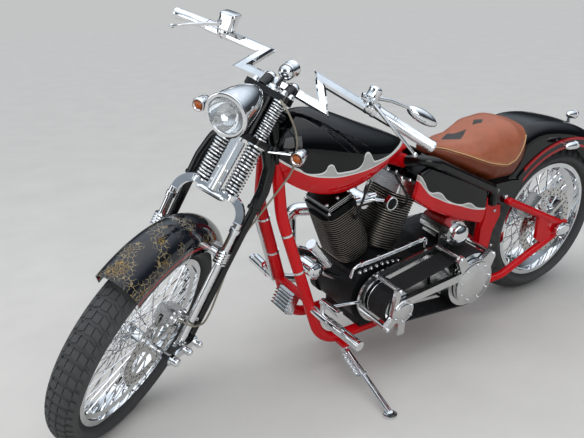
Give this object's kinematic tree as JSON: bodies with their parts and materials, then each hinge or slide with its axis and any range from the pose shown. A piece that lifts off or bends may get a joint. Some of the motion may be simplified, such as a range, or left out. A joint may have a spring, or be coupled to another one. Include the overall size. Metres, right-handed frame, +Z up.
{
  "type": "chopper motorcycle",
  "caption": "Long low custom motorcycle with a springer fork turned to its left stop, an open belt drive and wire wheels, leaning on its side stand.",
  "frame": {"origin": "where the rear tyre meets the floor", "axes": "+X forward along the machine, +Y to the rider's left, +Z up from the floor"},
  "size_m": [2.5185, 0.8129, 1.2583],
  "materials": {
    "frame_red": "gloss",
    "black_paint": "gloss",
    "tank_paint": "gloss",
    "chrome": "polished",
    "aluminium": "polished",
    "cast_black": "satin",
    "steel": "ground",
    "tyre": "matt",
    "rubber": "matt",
    "leather": "satin",
    "fender_paint": "gloss"
  },
  "bodies": {
    "frame": {"frame_backbone": "frame_red", "cradle_left": "frame_red", "cradle_right": "frame_red", "frame_crossmembers": "frame_red", "seat_rails": "black_paint", "swingarm_left": "frame_red", "swingarm_right": "frame_red", "rear_axle": "chrome", "fuel_tank": "tank_paint", "oil_tank": "tank_paint", "seat": "leather", "rear_fender": "black_paint", "fender_struts": "black_paint", "crankcase": "aluminium", "cylinders": "cast_black", "rocker_boxes": "aluminium", "pushrod_tubes": "chrome", "intake": "chrome", "exhaust": "chrome", "gearbox": "aluminium", "starter": "chrome", "primary_plate": "aluminium", "primary_pulleys": "aluminium", "primary_belt": "rubber", "primary_guard": "aluminium", "left_control": "chrome", "right_control": "chrome", "regulator": "chrome", "rear_caliper": "chrome", "final_belt": "rubber", "rear_lights": "chrome", "engine_fittings": "chrome"},
    "steering": {"rigid_fork": "black_paint", "spring_fork": "chrome", "fork_springs": "chrome", "fork_damper": "chrome", "rockers": "chrome", "front_axle": "chrome", "top_clamp": "black_paint", "handlebar": "chrome", "left_bar_controls": "chrome", "right_bar_controls": "chrome", "mirror": "chrome", "front_signals": "chrome", "headlight": "chrome", "front_fender": "fender_paint", "front_caliper": "chrome", "brake_hose": "rubber"},
    "front_wheel": {"front_tyre": "tyre", "front_rim": "chrome", "front_spokes": "chrome", "front_rotor": "steel"},
    "rear_wheel": {"rear_tyre": "tyre", "rear_rim": "chrome", "rear_spokes": "chrome", "rear_rotor": "steel", "rear_pulley": "aluminium"},
    "side_stand": {"side_stand": "chrome"}
  },
  "joints": [
    {"name": "steering", "type": "hinge", "parent": "frame", "child": "steering", "pos_m": [1.33307, 0.11851, 0.93248], "axis": [-0.5331, 0.117, 0.838], "range_deg": [-74, 0]},
    {"name": "front_wheel", "type": "hinge", "parent": "steering", "child": "front_wheel", "pos_m": [1.75718, 0.05761, 0.32171], "axis": [-0.5103, 0.7455, -0.4287], "continuous": true},
    {"name": "rear_wheel", "type": "hinge", "parent": "frame", "child": "rear_wheel", "pos_m": [-0.00005, 0.03201, 0.33076], "axis": [-0.0014, 0.9903, -0.1392], "continuous": true},
    {"name": "side_stand", "type": "hinge", "parent": "frame", "child": "side_stand", "pos_m": [1.04342, 0.12971, 0.08101], "axis": [0.0103, 0.1392, 0.9902], "range_deg": [0, 95]}
  ]
}
